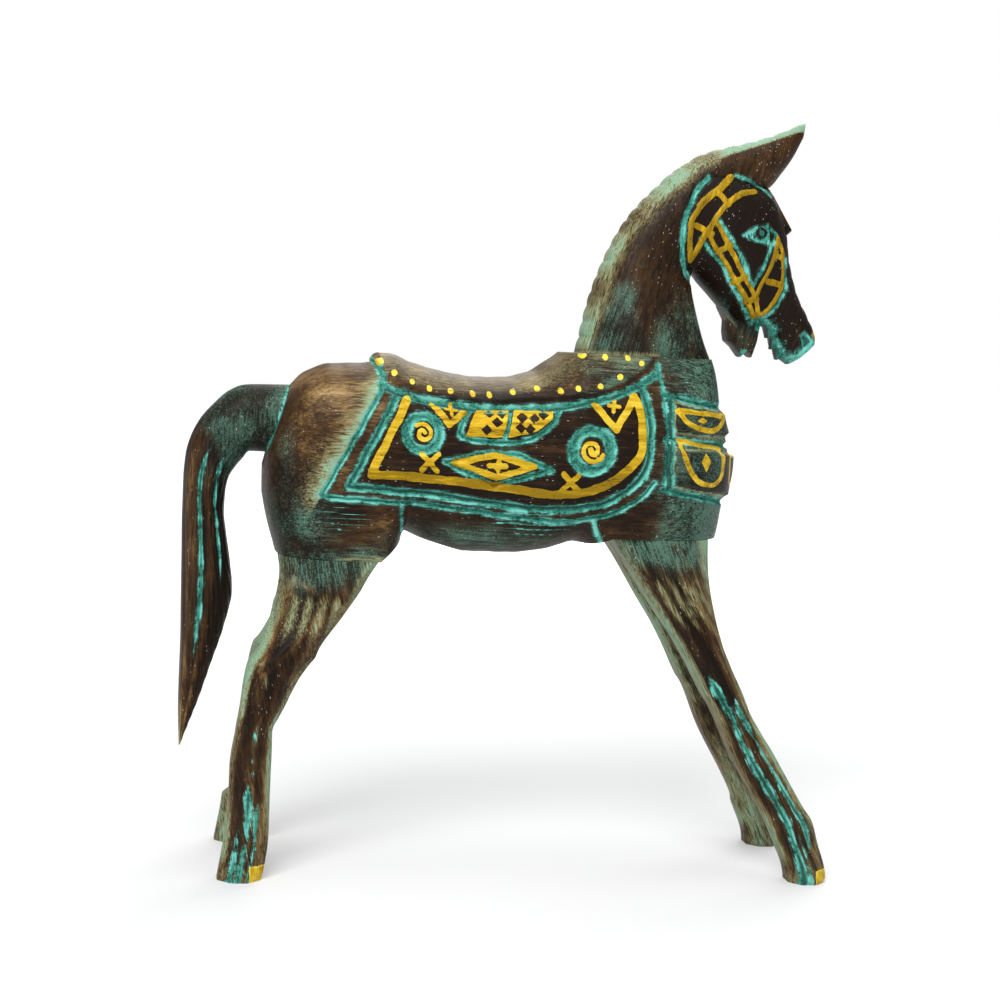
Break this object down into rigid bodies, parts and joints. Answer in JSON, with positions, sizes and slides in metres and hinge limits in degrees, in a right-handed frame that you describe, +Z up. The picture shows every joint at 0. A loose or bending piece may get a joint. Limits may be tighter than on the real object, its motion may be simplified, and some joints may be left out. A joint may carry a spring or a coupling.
{
  "type": "carved wooden horse statuette",
  "caption": "Standing horse carved in glued wooden blocks, dark stained with painted grooves, free standing on four hooves.",
  "frame": {"origin": "centre of the overall box, on the ground under the soles", "axes": "+X towards the nose, +Y towards the horse's left side, +Z up"},
  "size_m": [0.3428, 0.098, 0.4],
  "materials": {
    "carved_torso": "dark stain with painted grooves, satin varnish",
    "carved_neck": "dark stain with painted grooves, satin varnish",
    "carved_tail": "dark stain with painted grooves, satin varnish",
    "carved_legs": "dark stain with brushed wash, satin varnish",
    "peg_wood": "plain unfinished wood"
  },
  "bodies": {
    "root": {"torso_upper": "carved_torso", "torso_lower": "carved_torso", "neck_head": "carved_neck", "tail": "carved_tail", "leg_front_right": "carved_legs", "leg_front_left": "carved_legs", "leg_rear_right": "carved_legs", "leg_rear_left": "carved_legs", "peg_front_right": "peg_wood", "peg_front_left": "peg_wood", "peg_rear_right": "peg_wood", "peg_rear_left": "peg_wood", "peg_neck_front": "peg_wood", "peg_neck_rear": "peg_wood", "peg_tail": "peg_wood"}
  },
  "joints": []
}
